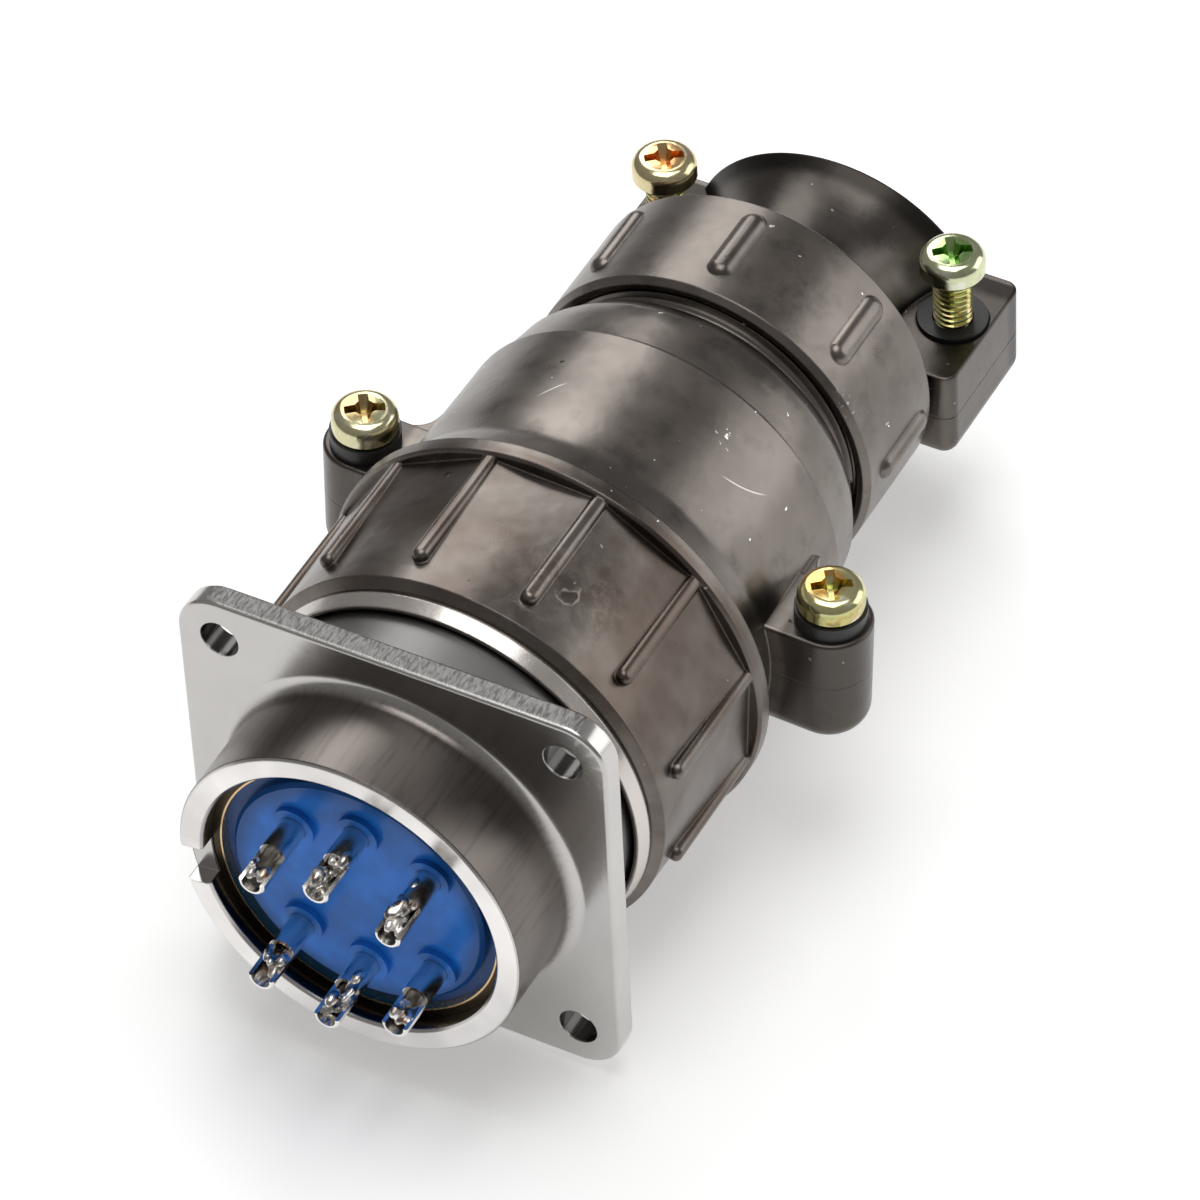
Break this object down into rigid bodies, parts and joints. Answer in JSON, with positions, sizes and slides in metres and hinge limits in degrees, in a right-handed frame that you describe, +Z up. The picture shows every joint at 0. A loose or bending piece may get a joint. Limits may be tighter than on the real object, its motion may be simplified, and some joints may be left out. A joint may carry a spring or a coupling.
{
  "type": "circular plug connector",
  "caption": "Mated circular connector: square-flange panel receptacle with solder cups, cable plug with ribbed coupling nut, side-screwed body, back nut and cable clamp.",
  "frame": {"origin": "on the connector's axis, in the face of the square flange that meets the panel", "axes": "+Y along the connector's axis from the panel towards the cable end, +Z up, +X to the right as seen from the solder side"},
  "size_m": [0.0526, 0.0964, 0.0412],
  "materials": {
    "plated_shell": "satin",
    "plug_metal": "satin",
    "blue_insert": "gloss",
    "gilt_ring": "polished",
    "contact_metal": "silver plated",
    "zinc_screw": "yellow zinc plated",
    "black_washer": "black oxide",
    "seal_rubber": "matt",
    "washer_metal": "plain"
  },
  "bodies": {
    "receptacle": {"receptacle_shell": "plated_shell", "receptacle_insulator": "blue_insert", "receptacle_retaining_ring": "gilt_ring", "pin_contact_1": "contact_metal", "pin_contact_2": "contact_metal", "pin_contact_3": "contact_metal", "pin_contact_4": "contact_metal", "pin_contact_5": "contact_metal", "pin_contact_6": "contact_metal"},
    "plug": {"plug_shell": "plug_metal", "plug_insulator": "blue_insert", "plug_retaining_ring": "gilt_ring", "socket_contact_1": "contact_metal", "socket_contact_2": "contact_metal", "socket_contact_3": "contact_metal", "socket_contact_4": "contact_metal", "socket_contact_5": "contact_metal", "socket_contact_6": "contact_metal", "backshell_upper": "plug_metal", "backshell_lower": "plug_metal", "backshell_screw_left": "zinc_screw", "backshell_screw_right": "zinc_screw", "backshell_washer_left": "black_washer", "backshell_washer_right": "black_washer", "cable_grommet": "seal_rubber", "slip_washer": "washer_metal"},
    "ring": {"coupling_nut": "plug_metal"},
    "clamp": {"clamp_lower": "plug_metal", "clamp_screw_left": "zinc_screw", "clamp_screw_right": "zinc_screw"},
    "jaw": {"clamp_upper": "plug_metal", "clamp_washer_left": "black_washer", "clamp_washer_right": "black_washer"},
    "gland": {"back_nut": "plug_metal"}
  },
  "joints": [
    {"name": "plug_travel", "type": "slide", "parent": "receptacle", "child": "plug", "axis": [0, 1, 0], "range_m": [0, 0.0068]},
    {"name": "coupling_turn", "type": "hinge", "parent": "plug", "child": "ring", "pos_m": [0, 0.016, 0], "axis": [0, 1, 0], "range_deg": [0, 2448]},
    {"name": "clamp_travel", "type": "slide", "parent": "plug", "child": "clamp", "axis": [0, 1, 0], "range_m": [0, 0.0055]},
    {"name": "gland_turn", "type": "hinge", "parent": "clamp", "child": "gland", "pos_m": [0, 0.06, 0], "axis": [0, 1, 0], "range_deg": [0, 1980]},
    {"name": "jaw_lift", "type": "slide", "parent": "clamp", "child": "jaw", "axis": [0, 0, 1], "range_m": [0, 0.0053]}
  ],
  "couplings": [
    {"joint": "coupling_turn", "follows": "plug_travel", "rad_per_m": 6283.2},
    {"joint": "gland_turn", "follows": "clamp_travel", "rad_per_m": 6283.2}
  ]
}
